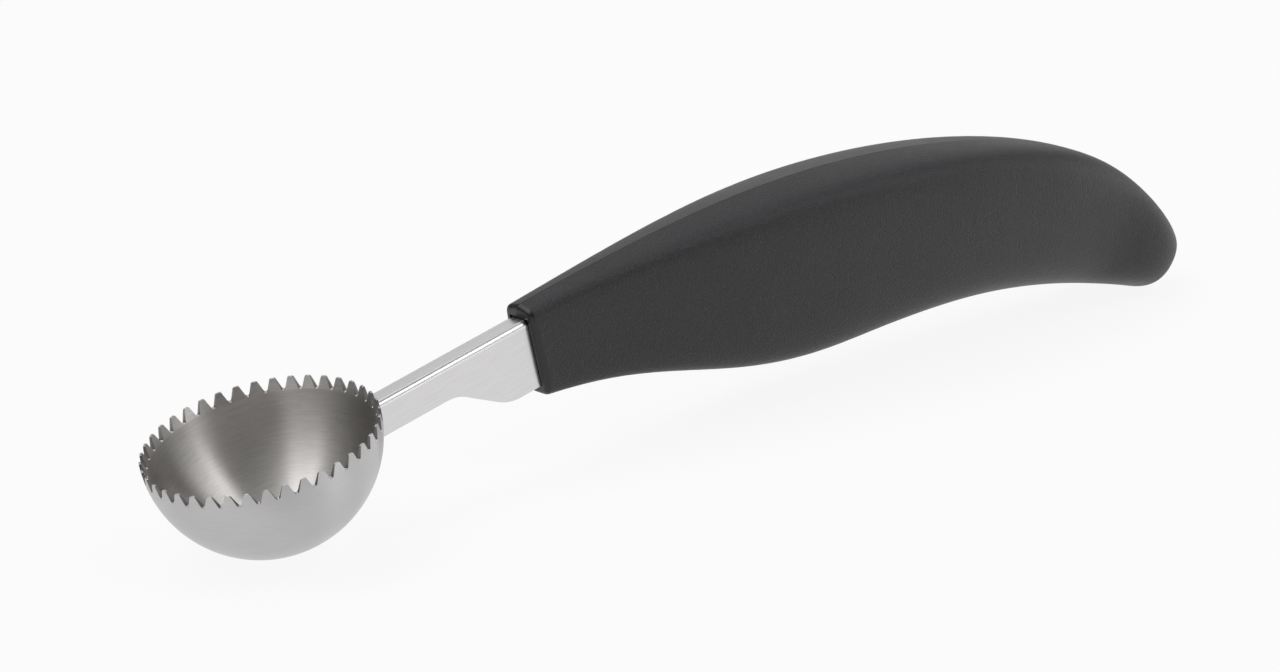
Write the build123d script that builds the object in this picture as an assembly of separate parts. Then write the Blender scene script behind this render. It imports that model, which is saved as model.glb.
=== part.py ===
from build123d import *
import os
from math import atan, cos, degrees, pi, radians, sin, sqrt, tan

# A melon baller: a serrated half-ball scoop on a folded sheet-steel shank, held in a two-part moulded handle.
# All sizes are in millimetres and all angles in degrees.
# The pieces are drawn in the tool's own position: the ball's centre is the zero point, the shank runs along X
# towards the handle, and the scoop opens towards Z. The last section lays the whole tool down on a table.

# Scoop
ball_diameter = 30.0
bowl_wall = 0.65
rim_rise = 0.25
tooth_pitch = 2.36
tooth_height = 1.6
tooth_root_radius = 0.3
tooth_tip_radius = 0.25
tooth_tip_share = 0.3
tooth_edge = 0.25
tooth_turn_share = 0.29

# Shank, a channel folded from sheet and open underneath
sheet_thickness = 0.7
bend_radius = 0.85
inner_bend_radius = 0.15
shank_width = 3.4
shank_height = 4.55
heel_height = 9.4
shank_below_centre = 3.05
heel_start = 27.9
heel_run = 7.4
heel_start_radius = 5.0
heel_end_radius = 6.5
tang_length = 32.0
tang_end_height = 6.6
tang_taper_run = 12.0
tang_corner_radius = 1.5

# Bead that joins the shank to the ball
bead_width = 0.6
bead_height = 0.5

# Handle
mouth_from_centre = 40.7
mouth_lip = 1.75
mouth_edge_radius = 0.75
handle_length = 112.0
handle_drop = 45.5
handle_width = 19.3
tail_cap = 2.6
wall = 2.2
section_count = 11
cap_angles = (25, 48, 66, 79, 86)

# Outline of the handle from the side: (share of the handle's length, share of its drop)
top_shares = ((0, 0), (0.195, 0.006), (0.389, 0.047), (0.578, 0.147), (0.761, 0.309), (0.911, 0.529), (1.0, 0.841))
under_shares = ((0, 0.278), (0.17, 0.4), (0.325, 0.546), (0.48, 0.611), (0.631, 0.687), (0.78, 0.82), (0.925, 0.996))
# Outline from above: (share of the handle's length, share of half its width)
plan_shares = ((0, 0.295), (0.17, 0.53), (0.34, 0.822), (0.5, 0.969), (0.67, 1.0), (0.84, 0.886), (1.0, 0.783))
# Section along the handle: fall of the top from the seam, per half width, and how square each corner is
roof_shares = ((0, 0.22), (0.4, 0.14), (0.75, 0), (1.0, 0))
upper_square_shares = ((0, 0.92), (0.4, 0.84), (1.0, 0.47))
lower_square_shares = ((0, 0.84), (0.17, 0.75), (0.4, 0.69), (1.0, 0.46))

# Inside of the handle
cavity_shares = (0.15, 0.28, 0.42, 0.56, 0.7, 0.83, 0.96)
rib_thickness = 1.6
rib_shares = (0.2, 0.285, 0.425, 0.565, 0.705, 0.845)
pin_diameter = 2.5
pin_shares = (0.4, 0.8)
pin_skin = 1.5
pin_boss_wall = 1.6
peg_diameter = 3.0
peg_length = 3.0
peg_boss_wall = 1.6
peg_shares = rib_shares[2:]

# Fits
seat_gap = 0.02
slot_clearance = 0.1
plug_clearance = 0.05
pin_clearance = 0.03
peg_clearance = 0.05
peg_end_gap = 0.4
parting_gap = 0.06
overrun = 5.0
rest_steps = 6

ball_radius = ball_diameter / 2
tooth_count = round(pi * ball_diameter / tooth_pitch)
pin_places = [share * tang_length for share in pin_shares]
shank_top = -shank_below_centre
mouth_top = shank_top + mouth_lip
tang_end = mouth_from_centre + tang_length
pin_height = shank_top - heel_height / 2
lower_centre = (Align.CENTER, Align.CENTER, Align.MIN)


def value_along(shares, place):
    """Straight-line reading of a list of (place, value) pairs."""
    for (start, first), (end, second) in zip(shares, shares[1:]):
        if place <= end:
            return first + (second - first) * (place - start) / (end - start)
    return shares[-1][1]


# Scoop bowl

def tooth_gap():
    """The gap between two teeth, cut outwards along X: straight flanks, round root, round shoulders."""
    half_pitch = pi * ball_radius / tooth_count
    half_gap = half_pitch * (1 - tooth_tip_share)
    straight = tooth_height - tooth_root_radius
    flank = sqrt(straight**2 + half_gap**2 - tooth_root_radius**2)
    quarter_angle = atan((flank - straight) / (half_gap + tooth_root_radius))
    apex = rim_rise - half_gap / tan(2 * quarter_angle)
    edge = FilletPolyline(
        (-half_pitch, rim_rise), (-half_gap, rim_rise), (0, apex), (half_gap, rim_rise), (half_pitch, rim_rise),
        radius=[tooth_tip_radius, tooth_root_radius, tooth_tip_radius],
    )
    above = rim_rise + overrun
    lid = Polyline((-half_pitch, rim_rise), (-half_pitch, above), (half_pitch, above), (half_pitch, rim_rise))
    outline = Plane.YZ.offset(ball_radius - bowl_wall - tooth_height) * make_face(edge + lid)
    return extrude(outline, amount=bowl_wall + tooth_height + overrun)


def make_bowl():
    """Half a hollow ball with a ring of teeth cut into its rim, ground thin on the inside."""
    inner_radius = ball_radius - bowl_wall
    shell = Sphere(ball_radius) - Sphere(inner_radius)
    lid_size = ball_diameter + overrun
    shell -= Pos(0, 0, rim_rise) * Box(lid_size, lid_size, lid_size, align=lower_centre)
    foot = rim_rise - tooth_height
    grind = Cone(sqrt(inner_radius**2 - foot**2), ball_radius - tooth_edge, tooth_height, align=lower_centre)
    shell -= Pos(0, 0, foot) * grind
    gap = tooth_gap()
    step = 360 / tooth_count
    return shell - [Rot(0, 0, step * (i + 0.5 + tooth_turn_share)) * gap for i in range(tooth_count)]


# Shank

def shank_outline(grow):
    """Side view of the shank from inside the ball to the end of the tang, grown by a clearance."""
    top, thin, deep = shank_top, shank_top - shank_height, shank_top - heel_height
    tang_middle = (top + deep) / 2
    line = FilletPolyline(
        (0, top), (tang_end, top), (tang_end, tang_middle - tang_end_height / 2),
        (tang_end - tang_taper_run, deep), (heel_start + heel_run, deep), (heel_start, thin), (0, thin),
        radius=[tang_corner_radius, tang_corner_radius, tang_corner_radius, heel_end_radius, heel_start_radius],
    )
    face = make_face(line + Line((0, thin), (0, top)))
    return Plane.XZ * (offset(face, grow) if grow else face)


def shank_envelope(grow=0.0):
    """The shank's outer shape as if it were solid, drawn from the ball's centre and grown by a clearance."""
    return extrude(shank_outline(grow), amount=shank_width / 2 + grow, both=True)


def channel_bar(half_width, top, radius):
    """The outside or the inside of the folded channel, with round upper corners, as a bar along X."""
    low = shank_top - heel_height - overrun
    corners = [(-half_width, low), (-half_width, top), (half_width, top), (half_width, low)]
    face = make_face(FilletPolyline(*corners, radius=radius) + Line(corners[-1], corners[0]))
    return extrude(Plane.YZ * face, amount=tang_end + overrun)


def make_shank():
    """Folded channel from the ball to the end of the tang, with the holes for its two pins."""
    outside = channel_bar(shank_width / 2, shank_top, bend_radius)
    inside = channel_bar(shank_width / 2 - sheet_thickness, shank_top - sheet_thickness, inner_bend_radius)
    shank = (outside - inside) & shank_envelope()
    return shank - Sphere(ball_radius + seat_gap) - pin_holes()


def make_weld():
    """Thin collar of weld metal that lies on the ball, round the end of the shank."""
    collar = Sphere(ball_radius + bead_height) - Sphere(ball_radius + seat_gap)
    return (collar & shank_envelope(bead_width)) - shank_envelope(seat_gap)


def make_plug():
    """Moulded core that fills the channel inside the handle and closes its mouth."""
    half_width = shank_width / 2 - sheet_thickness - plug_clearance
    core = channel_bar(half_width, shank_top - sheet_thickness - plug_clearance, inner_bend_radius)
    length = tang_length - tang_corner_radius
    reach = Box(length, shank_width, handle_drop, align=(Align.MIN, Align.CENTER, Align.CENTER))
    return (core & shank_envelope() & (Pos(mouth_from_centre, 0, 0) * reach)) - pin_holes()


# Outline of the handle

def side_point(shares):
    along, down = shares
    return (mouth_from_centre + along * handle_length, 0, mouth_top - down * handle_drop)


top_line = Spline(*[side_point(shares) for shares in top_shares])
under_line = Spline(*[side_point(shares) for shares in under_shares])
plan_line = Spline(*[(along * handle_length, out * handle_width / 2, 0) for along, out in plan_shares])


def station(share):
    """Section plane, half height and half width of the handle at a share of its length."""
    upper, lower = top_line @ share, under_line @ share
    rise = upper - lower
    plane = Plane(origin=(upper + lower) / 2, x_dir=(0, 1, 0), z_dir=(rise.Z, 0, -rise.X))
    return plane, rise.length / 2, (plan_line @ share).Y


def quarter(start, corner, end, square):
    """Smooth curve from start to end, which follows its corner closely where square is near 1."""
    start, corner, end = Vector(*start), Vector(*corner), Vector(*end)
    before = start + (corner - start) * square
    after = end + (corner - end) * square
    bend = corner * square + (before + after) / 2 * (1 - square)
    return Bezier(start, before, bend, after, end)


def half_profile(half_height, half_width, share, inner=parting_gap / 2):
    """Half a section of the handle, from its inner edge outwards to +Y."""
    shoulder = half_height - value_along(roof_shares, share) * half_width
    top, side, bottom = (inner, half_height), (half_width, 0), (inner, -half_height)
    upper = quarter(top, (half_width, shoulder), side, value_along(upper_square_shares, share))
    lower = quarter(side, (half_width, -half_height), bottom, value_along(lower_square_shares, share))
    return make_face(Curve() + [upper, lower, Line(bottom, top)])


def outer_section(share):
    plane, half_height, half_width = station(share)
    return plane * half_profile(half_height, half_width, share)


def tail_section(angle):
    """One of the shrinking sections that round the tail off."""
    plane, half_height, half_width = station(1)
    shrink = cos(radians(angle))
    face = half_profile(half_height * shrink, half_width * shrink, 1)
    return plane.offset(tail_cap * sin(radians(angle))) * face


def cavity_section(share):
    """Section of the hollow, one wall inside the outer section and open across the parting plane."""
    plane, half_height, half_width = station(share)
    return plane * half_profile(half_height - wall, half_width - wall, share, -parting_gap)


# Inside of the handle

def across(x, z, radius, half_length):
    """A rod along Y, centred on the parting plane."""
    return Pos(x, 0, z) * Rot(90, 0, 0) * Cylinder(radius, 2 * half_length)


def pin_half_length(place):
    """Half the length of a pin that stops one skin short of the handle's surface."""
    return (plan_line @ (place / handle_length)).Y - pin_skin


def make_pin(place, clearance=0.0, end_gap=0.0):
    rod_radius = pin_diameter / 2 + clearance
    return across(mouth_from_centre + place, pin_height, rod_radius, pin_half_length(place) + end_gap)


def pin_holes():
    return [make_pin(place, pin_clearance, seat_gap) for place in pin_places]


def peg(share, radius, half_length):
    """A rod along Y through the middle of the handle at a share of its length."""
    middle = station(share)[0].origin
    return across(middle.X, middle.Z, radius, half_length)


def rib(share):
    """Slab across the handle at a share of its length."""
    return station(share)[0] * Box(handle_width, handle_drop, rib_thickness)


def cavity():
    """The hollow of one half, less its ribs and the bosses round the pins and pegs."""
    solid_places = [rib(share) for share in rib_shares]
    solid_places += [make_pin(place, pin_boss_wall, handle_width) for place in pin_places]
    solid_places += [peg(share, peg_diameter / 2 + peg_boss_wall, handle_width) for share in peg_shares]
    return loft([cavity_section(share) for share in cavity_shares]) - solid_places


# Handle shells

def handle_envelope():
    """Outer shape of the handle's half on the +Y side, with the edge of its mouth rounded."""
    shares = [i / (section_count - 1) for i in range(section_count)]
    solid = loft([outer_section(share) for share in shares] + [tail_section(angle) for angle in cap_angles])
    front = solid.faces().sort_by(Axis.X)[0]
    return fillet([edge for edge in front.edges() if edge.center().Y > parting_gap], mouth_edge_radius)


def half_shell():
    """One half of the handle: wall, ribs and bosses, with the slot for the tang and the pin bores."""
    return handle_envelope() - cavity() - shank_envelope(slot_clearance) - pin_holes()


def make_right_shell(half):
    depth = peg_length + peg_end_gap
    return half - [peg(share, peg_diameter / 2 + peg_clearance, depth) for share in peg_shares]


def make_left_shell(half):
    return mirror(half, about=Plane.XZ) + [peg(share, peg_diameter / 2, peg_length) for share in peg_shares]


# Lying on a table

def resting_place(bowl, shell):
    """Turns the tool until its ball and its tail stand on the table, and puts the box's bottom centre at zero."""
    reach = mouth_from_centre + handle_length
    tilt = 0.0
    for _ in range(rest_steps):
        tail_bottom = (Rot(0, -tilt, 0) * shell).bounding_box().min.Z
        tilt -= degrees((tail_bottom + ball_radius) / reach)
    turn = Rot(0, -tilt, 0)
    front, back = (turn * bowl).bounding_box().min.X, (turn * shell).bounding_box().max.X
    return Pos(-(front + back) / 2, 0, ball_radius) * turn


def make_parts():
    half = half_shell()
    parts = {
        "scoop_bowl": make_bowl(),
        "neck_weld": make_weld(),
        "shank": make_shank(),
        "channel_plug": make_plug(),
        "handle_shell_left": make_left_shell(half),
        "handle_shell_right": make_right_shell(half),
        "front_tang_pin": make_pin(pin_places[0]),
        "rear_tang_pin": make_pin(pin_places[1]),
    }
    place = resting_place(parts["scoop_bowl"], parts["handle_shell_left"])
    return {name: place * solid for name, solid in parts.items()}


if __name__ == "__main__":
    os.makedirs("parts", exist_ok=True)
    for name, solid in make_parts().items():
        export_step(solid, f"parts/{name}.step")
        print(name, round(solid.volume, 1))
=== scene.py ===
from math import cos, radians, sin

import bmesh
import bpy
from mathutils import Matrix, Vector


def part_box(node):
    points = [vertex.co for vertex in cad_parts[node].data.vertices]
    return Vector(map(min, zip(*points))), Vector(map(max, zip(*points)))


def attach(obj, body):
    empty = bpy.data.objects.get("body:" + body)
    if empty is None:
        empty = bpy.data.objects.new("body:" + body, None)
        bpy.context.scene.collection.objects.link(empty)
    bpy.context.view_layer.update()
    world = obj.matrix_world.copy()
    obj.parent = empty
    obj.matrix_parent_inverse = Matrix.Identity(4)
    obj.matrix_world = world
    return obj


# A melon baller on a white studio floor. Lengths are in metres and angles in degrees.
mm = 0.001

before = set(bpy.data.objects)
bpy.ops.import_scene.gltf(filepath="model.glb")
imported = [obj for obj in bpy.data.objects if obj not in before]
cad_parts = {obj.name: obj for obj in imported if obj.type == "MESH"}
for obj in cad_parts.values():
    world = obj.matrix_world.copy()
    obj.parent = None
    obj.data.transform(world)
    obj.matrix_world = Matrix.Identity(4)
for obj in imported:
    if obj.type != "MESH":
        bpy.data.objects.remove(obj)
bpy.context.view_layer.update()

# The tool as it lies: its long axis rises by the tilt, and the scoop opens along the bowl axis
tilt = 12.33
ball_radius = 15.0 * mm
bowl_wall = 0.65 * mm
ball_centre = Vector((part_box("scoop_bowl")[1][0] - ball_radius, 0, ball_radius))
long_axis = Vector((cos(radians(tilt)), 0, sin(radians(tilt))))
bowl_axis = Vector((-sin(radians(tilt)), 0, cos(radians(tilt))))
sideways_axis = (0, 1, 0)

# The handle's mouth, measured from the ball's centre, and the smooth edge round it
mouth_from_centre = 40.7 * mm
smooth_edge = 0.72 * mm
grained_edge = 0.80 * mm

# The handle's seam: the gap between the shells, and the web of plastic that fills it
parting_gap = 0.06 * mm
weld_depth = 0.12 * mm
weld_thickness = 0.04 * mm
flat_enough = 0.99
same_point = 0.001 * mm

# Camera
view_azimuth = -39.857
view_elevation = 18.452
view_roll = 1.58
view_distance = 528.5 * mm
view_target = ball_centre + Vector((64.34, 4.69, -3.47)) * mm
nearest_view = 10 * mm
lens = 112.5
sensor = 36.0


def direction(azimuth, elevation):
    """Unit vector towards a place in the studio. Azimuth 0 faces the tool's side, and 90 its tail."""
    a, e = radians(azimuth), radians(elevation)
    return Vector((sin(a) * cos(e), -cos(a) * cos(e), sin(e)))


def facing(back, roll=0.0):
    """Rotation whose local Z points along back, turned about it by a roll."""
    right = Vector((0, 0, 1)).cross(back).normalized()
    up = back.cross(right)
    turn = Matrix.Rotation(radians(roll), 3, back)
    return Matrix((turn @ right, turn @ up, back)).transposed().to_4x4()


def make_camera():
    data = bpy.data.cameras.new("camera")
    data.lens = lens
    data.sensor_width = sensor
    data.clip_start = nearest_view
    camera = bpy.data.objects.new("camera", data)
    back = direction(view_azimuth, view_elevation)
    place = Matrix.Translation(view_target + back * view_distance)
    camera.matrix_world = place @ facing(back, -view_roll)
    bpy.context.collection.objects.link(camera)
    bpy.context.scene.camera = camera


# Node helpers. Some sockets share a name, so they are taken by number.
generated_output = 0
object_output = 3
true_normal_output = 3
value_output = 1
mix_factor, mix_first_colour, mix_second_colour, mixed_colour = 0, 6, 7, 2
white = (1, 1, 1, 1)
# Most of a noise texture's values lie in this range
noise_low, noise_high = 0.3, 0.7


class Tree:
    """A node tree with short calls. An input is a value, or the output of another node."""

    def __init__(self, owner):
        owner.use_nodes = True
        self.tree = owner.node_tree
        self.tree.nodes.clear()

    def node(self, kind, settings=None, output=0, **inputs):
        """A node with its inputs by name, or by number as in i0. It answers with one of its outputs."""
        made = self.tree.nodes.new(kind)
        for name, value in (settings or {}).items():
            setattr(made, name, value)
        for name, value in inputs.items():
            key = int(name[1:]) if name[0] == "i" and name[1:].isdigit() else name.replace("_", " ")
            self.put(made.inputs[key], value)
        return made.outputs[output]

    def put(self, socket, value):
        if isinstance(value, bpy.types.NodeSocket):
            self.tree.links.new(value, socket)
        else:
            socket.default_value = value

    def maths(self, operation, first, second=0.0):
        return self.node("ShaderNodeMath", {"operation": operation}, i0=first, i1=second)

    def times(self, first, second):
        return self.maths("MULTIPLY", first, second)

    def plus(self, first, second):
        return self.maths("ADD", first, second)

    def vector(self, operation, first, second=(0, 0, 0), output=0):
        return self.node("ShaderNodeVectorMath", {"operation": operation}, output, i0=first, i1=second)

    def dot(self, first, second):
        return self.vector("DOT_PRODUCT", first, second, value_output)

    def combine(self, x, y, z):
        return self.node("ShaderNodeCombineXYZ", X=x, Y=y, Z=z)

    def noise(self, vector, scale, detail, roughness):
        inputs = {"Vector": vector, "Scale": scale, "Detail": detail, "Roughness": roughness}
        return self.node("ShaderNodeTexNoise", **inputs)

    def remap(self, value, from_low, from_high, to_low=0.0, to_high=1.0):
        inputs = {"From Min": from_low, "From Max": from_high, "To Min": to_low, "To Max": to_high}
        return self.node("ShaderNodeMapRange", Value=value, **inputs)

    def spread(self, noise, low, high):
        """Noise stretched over a range."""
        return self.remap(noise, noise_low, noise_high, low, high)

    def blend(self, factor, first, second):
        mix = self.tree.nodes.new("ShaderNodeMix")
        mix.data_type = "RGBA"
        self.put(mix.inputs[mix_factor], factor)
        self.put(mix.inputs[mix_first_colour], first)
        self.put(mix.inputs[mix_second_colour], second)
        return mix.outputs[mixed_colour]

    def choose(self, factor, first, second):
        return self.node("ShaderNodeMix", {"data_type": "FLOAT"}, i0=factor, i2=first, i3=second)

    def bump(self, height, distance, strength):
        return self.node("ShaderNodeBump", Height=height, Distance=distance, Strength=strength)

    def surface(self, **inputs):
        self.end("ShaderNodeOutputMaterial", self.node("ShaderNodeBsdfPrincipled", **inputs))

    def end(self, kind, shader):
        self.tree.links.new(shader, self.tree.nodes.new(kind).inputs["Surface"])

    def from_ball(self):
        """The place on the object, measured from the ball's centre."""
        place = self.node("ShaderNodeTexCoord", output=object_output)
        return self.vector("SUBTRACT", place, ball_centre)


def material(name):
    made = bpy.data.materials.new(name)
    return made, Tree(made)


# Steel
bowl_inside_dark = (0.58, 0.560, 0.540, 1)
bowl_inside_light = (0.74, 0.720, 0.700, 1)
# Outside of the bowl: the same steel painted darker than the inside, as painted shade
bowl_outside_shaded_dark = (0.55, 0.540, 0.545, 1)
bowl_outside_shaded_light = (0.60, 0.590, 0.597, 1)
# Cut walls of the teeth: the steel colour painted darker, as painted shade
tooth_wall_shade = (0.30, 0.285, 0.275, 1)
weld_dark, weld_light = (0.60, 0.59, 0.58, 1), (0.70, 0.69, 0.68, 1)
shank_dark, shank_light = (0.68, 0.67, 0.67, 1), (0.74, 0.73, 0.73, 1)
pin_dark, pin_light = (0.55, 0.55, 0.55, 1), (0.65, 0.65, 0.65, 1)
ring_scale, ring_stretch = 420.0, 0.02
broad_ring_scale, broad_ring_stretch, broad_ring_layer = 60.0, 0.05, 3.0
fine_ring_share, broad_ring_share = 0.6, 0.4
wander_scale, ring_wander = 90.0, 0.02
bowl_cloud_scale = 160.0
bowl_bump = 0.002 * mm
brush_scale, brush_stretch = 9000.0, 0.03
sheet_cloud_scale = 220.0
brush_bump, brush_strength = 0.001 * mm, 0.2
# The brushing runs across the tangent, so the highlight is turned by a quarter
quarter_turn = 0.25


def ring_steel(name):
    """Sheet steel of the scoop, brushed in rings round its axis. The outside is painted darker than the
    inside, and the cut walls of the teeth darker still, both as painted shade.
    """
    made, t = material(name)
    place = t.from_ball()
    radius = t.vector("LENGTH", place, output=value_output)
    polar = t.maths("ARCCOSINE", t.maths("DIVIDE", t.dot(place, bowl_axis), radius))
    around = t.maths("ARCTAN2", t.dot(place, sideways_axis), t.dot(place, long_axis))
    inner, outer = ball_radius - 0.7 * bowl_wall, ball_radius - 0.3 * bowl_wall
    inside = t.remap(radius, inner, outer, 1.0, 0.0)
    ring = t.plus(polar, t.times(t.noise(place, wander_scale, 2.0, 0.5), ring_wander))
    fine_place = t.combine(ring, t.times(around, ring_stretch), 0.0)
    fine = t.noise(fine_place, ring_scale, 3.0, 0.65)
    broad_place = t.combine(ring, t.times(around, broad_ring_stretch), broad_ring_layer)
    broad = t.noise(broad_place, broad_ring_scale, 2.0, 0.5)
    cloud = t.noise(place, bowl_cloud_scale, 2.0, 0.5)
    tangent = t.vector("NORMALIZE", t.vector("CROSS_PRODUCT", bowl_axis, place))
    true_normal = t.node("ShaderNodeNewGeometry", output=true_normal_output)
    # Mask of the cut tooth walls, where the colour is painted darker as painted shade
    painted_wall_shade = t.remap(t.maths("ABSOLUTE", t.dot(true_normal, tangent)), 0.45, 0.75)
    rough = t.choose(inside, t.spread(cloud, 0.33, 0.36), t.spread(broad, 0.39, 0.43))
    streak = t.plus(t.times(fine, fine_ring_share), t.times(broad, broad_ring_share))
    shade = t.remap(streak, 0.35, 0.65)
    shade_inside = t.blend(shade, bowl_inside_dark, bowl_inside_light)
    # The outside's colours are painted darker than the inside's, as painted shade
    outside_painted_shade = t.blend(shade, bowl_outside_shaded_dark, bowl_outside_shaded_light)
    t.surface(
        Base_Color=t.blend(painted_wall_shade, t.blend(inside, outside_painted_shade, shade_inside), tooth_wall_shade),
        Metallic=1.0, Roughness=rough, Tangent=tangent, Anisotropic=0.98,
        Anisotropic_Rotation=quarter_turn,
        Normal=t.bump(fine, bowl_bump, t.remap(inside, 0.0, 1.0, 0.3, 0.8)),
    )
    return made


def straight_steel(name, light, dark, rough_low, rough_high, anisotropic):
    """Sheet steel with a fine brushing along the tool."""
    made, t = material(name)
    place = t.from_ball()
    along = t.times(t.dot(place, long_axis), brush_stretch)
    brushed = t.combine(along, t.dot(place, sideways_axis), t.dot(place, bowl_axis))
    fine = t.noise(brushed, brush_scale, 2.0, 0.6)
    cloud = t.noise(place, sheet_cloud_scale, 3.0, 0.55)
    t.surface(
        Base_Color=t.blend(t.spread(fine, 0.0, 1.0), dark, light),
        Metallic=1.0, Roughness=t.spread(cloud, rough_low, rough_high),
        Tangent=tuple(long_axis), Anisotropic=anisotropic, Anisotropic_Rotation=quarter_turn,
        Normal=t.bump(fine, brush_bump, brush_strength),
    )
    return made


# Plastic
charcoal_dark = (0.017, 0.017, 0.020, 1)
charcoal_light = (0.032, 0.032, 0.036, 1)
charcoal_smooth = (0.014, 0.014, 0.016, 1)
grain_scale, pit_scale, pit_share = 4600.0, 1500.0, 0.4
grain_bump, grain_roughness = 0.11 * mm, 0.06
handle_cloud_scale = 120.0
plug_dark = (0.022, 0.022, 0.024, 1)
plug_light = (0.035, 0.035, 0.038, 1)
plug_cloud_scale = 900.0
plug_bump, plug_strength = 0.01 * mm, 0.3


def handle_plastic(name):
    """Charcoal plastic with a spark-eroded grain, smooth on the rounded edge of the mouth."""
    made, t = material(name)
    place = t.from_ball()
    grain_start, grain_full = mouth_from_centre + smooth_edge, mouth_from_centre + grained_edge
    grained = t.remap(t.dot(place, long_axis), grain_start, grain_full)
    grain = t.noise(place, grain_scale, 1.0, 0.5)
    pits = t.noise(place, pit_scale, 2.0, 0.6)
    cloud = t.noise(place, handle_cloud_scale, 3.0, 0.5)
    speckled = t.blend(t.remap(grain, 0.45, 0.7), charcoal_dark, charcoal_light)
    t.surface(
        Base_Color=t.blend(grained, charcoal_smooth, speckled),
        Roughness=t.plus(t.spread(cloud, 0.36, 0.40), t.times(grained, grain_roughness)),
        Normal=t.bump(t.plus(grain, t.times(pits, pit_share)), grain_bump, grained),
        IOR=1.5,
    )
    return made


def plug_plastic(name):
    """Dark moulded plastic of the core, a little cloudy."""
    made, t = material(name)
    place = t.node("ShaderNodeTexCoord", output=object_output)
    cloud = t.noise(place, plug_cloud_scale, 2.0, 0.5)
    t.surface(
        Base_Color=t.blend(cloud, plug_dark, plug_light),
        Roughness=t.spread(cloud, 0.4, 0.5),
        Normal=t.bump(cloud, plug_bump, plug_strength),
    )
    return made


def dress_nodes():
    """Gives each solid its finish."""
    handle = handle_plastic("handle_plastic")
    weld = straight_steel("weld_steel", weld_light, weld_dark, 0.26, 0.34, 0.2)
    shank = straight_steel("shank_steel", shank_light, shank_dark, 0.26, 0.30, 0.35)
    pin = straight_steel("pin_steel", pin_light, pin_dark, 0.2, 0.3, 0.2)
    finishes = {
        "scoop_bowl": ring_steel("bowl_steel"),
        "neck_weld": weld,
        "shank": shank,
        "front_tang_pin": pin,
        "rear_tang_pin": pin,
        "channel_plug": plug_plastic("plug_plastic"),
        "handle_shell_left": handle,
        "handle_shell_right": handle,
    }
    for name, finish in finishes.items():
        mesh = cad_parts[name].data
        mesh.materials.clear()
        mesh.materials.append(finish)
    return finishes


def make_seam_weld(finish):
    """Weld web between the two shells: a thin sheet in the parting plane, a little inside their outline."""
    web = bmesh.new()
    web.from_mesh(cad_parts["handle_shell_left"].data)
    facing_away = [
        face for face in web.faces
        if abs(face.normal.y) < flat_enough or abs(face.calc_center_median().y) > parting_gap
    ]
    bmesh.ops.delete(web, geom=facing_away, context="FACES")
    bmesh.ops.remove_doubles(web, verts=web.verts[:], dist=same_point)
    rim = bmesh.ops.inset_region(
        web, faces=web.faces[:], thickness=weld_depth, use_boundary=True, use_even_offset=True
    )
    bmesh.ops.delete(web, geom=rim["faces"], context="FACES")
    for vertex in web.verts:
        vertex.co.y = 0
    mesh = bpy.data.meshes.new("handle_seam_weld")
    web.to_mesh(mesh)
    web.free()
    mesh.materials.append(finish)
    piece = bpy.data.objects.new("handle_seam_weld", mesh)
    bpy.context.collection.objects.link(piece)
    thickness = piece.modifiers.new("thickness", "SOLIDIFY")
    thickness.thickness = weld_thickness
    thickness.offset = 0
    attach(piece, "root")


# Studio
room_light = 0.12
# Soft light: (azimuth, elevation, how closely it is gathered, strength)
patches = (
    (22, 8, 40, 1.9), (45, 6, 60, 0.5), (70, 6, 28, 1.2), (92, 6, 28, 1.3),
    (135, 8, 28, 0.6), (150, 26, 28, 0.8), (32, 40, 150, 2.4), (36, 54, 110, 4.6),
    (62, 55, 110, 4.2), (84, 55, 150, 2.0), (-114, 46, 110, 4.4), (-84, 46, 110, 2.2),
    (-110, 63, 70, 3.2), (-160, 66, 28, 2.4), (150, 66, 28, 1.0), (-132, 46, 28, 0.9),
)
floor_half = 3.0
floor_white = (0.86, 0.86, 0.86, 1)
# How much of the seen floor is plain white. The rest is lit, and holds the shadow.
floor_plain = 0.9


def make_floor():
    """White floor. The camera and reflections see it nearly plain white, with a part of the shadow."""
    corners = [(x * floor_half, y * floor_half, 0) for x, y in ((-1, -1), (1, -1), (1, 1), (-1, 1))]
    mesh = bpy.data.meshes.new("studio_floor")
    mesh.from_pydata(corners, [], [(0, 1, 2, 3)])
    floor = bpy.data.objects.new("studio_floor", mesh)
    bpy.context.collection.objects.link(floor)
    made, t = material("studio_white")
    path = t.tree.nodes.new("ShaderNodeLightPath")
    seen = t.maths("MAXIMUM", path.outputs["Is Camera Ray"], path.outputs["Is Glossy Ray"])
    lit = t.node("ShaderNodeBsdfDiffuse", Color=floor_white)
    glow = t.node("ShaderNodeEmission", Color=white, Strength=1.0)
    mixed = t.node("ShaderNodeMixShader", i0=t.times(seen, floor_plain), i1=lit, i2=glow)
    t.end("ShaderNodeOutputMaterial", mixed)
    mesh.materials.append(made)


def make_world():
    """A dim room with soft patches of light. The camera itself sees plain white."""
    world = bpy.data.worlds.new("studio")
    t = Tree(world)
    ray = t.vector("NORMALIZE", t.node("ShaderNodeTexCoord", output=generated_output))
    glow = room_light
    for azimuth, elevation, focus, strength in patches:
        closeness = t.maths("SUBTRACT", t.dot(ray, direction(azimuth, elevation)), 1.0)
        lobe = t.maths("EXPONENT", t.times(closeness, focus))
        glow = t.plus(glow, t.times(lobe, strength))
    path = t.tree.nodes.new("ShaderNodeLightPath")
    lit = t.node("ShaderNodeBackground", Color=white, Strength=glow)
    seen = t.node("ShaderNodeBackground", Color=white, Strength=1.0)
    mixed = t.node("ShaderNodeMixShader", i0=path.outputs["Is Camera Ray"], i1=lit, i2=seen)
    t.end("ShaderNodeOutputWorld", mixed)
    bpy.context.scene.world = world


make_camera()
finishes = dress_nodes()
make_seam_weld(finishes["handle_shell_left"])
make_floor()
make_world()
bpy.context.scene.view_settings.view_transform = "Standard"
